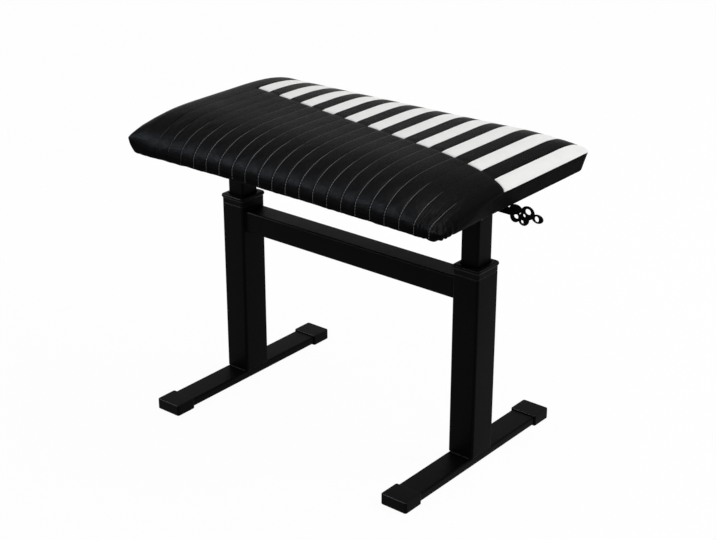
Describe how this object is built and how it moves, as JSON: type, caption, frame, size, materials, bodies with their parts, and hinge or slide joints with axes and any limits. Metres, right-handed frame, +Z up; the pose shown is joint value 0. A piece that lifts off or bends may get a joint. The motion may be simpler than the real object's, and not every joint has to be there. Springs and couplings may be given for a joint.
{
  "type": "height-adjustable keyboard bench",
  "caption": "Padded keyboard bench on two telescopic columns with gas springs, a cross beam, flat feet and a clef-shaped release handle under the right end.",
  "frame": {"origin": "on the floor, under the middle of the whole bench's box at the lowest seat height", "axes": "+X along the seat towards the release handle's end, +Y from the front to the rear (the keyboard pattern's side), +Z up"},
  "size_m": [0.593, 0.3688, 0.4647],
  "materials": {
    "black_paint": "satin",
    "black_plastic": "matte",
    "black_vinyl": "satin",
    "white_vinyl": "satin",
    "plywood": "matte",
    "dust_cloth": "matte",
    "zinc_steel": "satin",
    "chrome_steel": "polished",
    "acetal": "satin"
  },
  "bodies": {
    "base": {"foot_tube_left": "black_paint", "foot_tube_right": "black_paint", "foot_cap_front_left": "black_plastic", "foot_cap_front_right": "black_plastic", "foot_cap_rear_left": "black_plastic", "foot_cap_rear_right": "black_plastic", "outer_column_left": "black_paint", "outer_column_right": "black_paint", "cross_beam": "black_paint", "guide_collar_left": "black_plastic", "guide_collar_right": "black_plastic", "gas_spring_cylinder_left": "black_paint", "gas_spring_cylinder_right": "black_paint", "gas_spring_bolt_left": "zinc_steel", "gas_spring_bolt_right": "zinc_steel"},
    "seat": {"seat_cushion": "black_vinyl", "seat_board": "plywood", "dust_cover": "dust_cloth", "inner_column_left": "black_paint", "inner_column_right": "black_paint", "glide_shoe_left": "acetal", "glide_shoe_right": "acetal", "gas_spring_rod_left": "chrome_steel", "gas_spring_rod_right": "chrome_steel", "release_head_left": "zinc_steel", "release_head_right": "zinc_steel", "release_head_bolt_left": "zinc_steel", "release_head_bolt_right": "zinc_steel", "shaft_bush_left": "acetal", "shaft_bush_right": "acetal", "seat_bracket_left": "black_paint", "seat_bracket_right": "black_paint", "seat_screw_left_1": "zinc_steel", "seat_screw_left_2": "zinc_steel", "seat_screw_left_3": "zinc_steel", "seat_screw_left_4": "zinc_steel", "seat_screw_right_1": "zinc_steel", "seat_screw_right_2": "zinc_steel", "seat_screw_right_3": "zinc_steel", "seat_screw_right_4": "zinc_steel", "white_key_01": "white_vinyl", "white_key_02": "white_vinyl", "white_key_03": "white_vinyl", "white_key_04": "white_vinyl", "white_key_05": "white_vinyl", "white_key_06": "white_vinyl", "white_key_07": "white_vinyl", "white_key_08": "white_vinyl", "white_key_09": "white_vinyl", "white_key_10": "white_vinyl", "white_key_11": "white_vinyl"},
    "release_handle": {"release_shaft": "zinc_steel", "release_cam_left": "zinc_steel", "release_cam_right": "zinc_steel", "release_lever": "black_paint", "clef_handle": "black_paint", "handle_screw": "zinc_steel"},
    "valve_pin_left": {"release_pin_left": "zinc_steel"},
    "valve_pin_right": {"release_pin_right": "zinc_steel"}
  },
  "joints": [
    {"name": "seat_height", "type": "slide", "parent": "base", "child": "seat", "axis": [0, 0, 1], "range_m": [0, 0.12]},
    {"name": "handle_lift", "type": "hinge", "parent": "seat", "child": "release_handle", "pos_m": [0, 0.00407, 0.3973], "axis": [1, 0, 0], "range_deg": [0, 14], "stiffness_Nm_per_rad": 1.2, "springref_deg": -8.59},
    {"name": "valve_left_press", "type": "slide", "parent": "seat", "child": "valve_pin_left", "axis": [0, 0, 1], "range_m": [-0.0018, 0]},
    {"name": "valve_right_press", "type": "slide", "parent": "seat", "child": "valve_pin_right", "axis": [0, 0, 1], "range_m": [-0.0018, 0]}
  ],
  "couplings": [
    {"joint": "valve_left_press", "follows": "handle_lift", "m_per_rad": -0.0069},
    {"joint": "valve_right_press", "follows": "handle_lift", "m_per_rad": -0.0069}
  ]
}
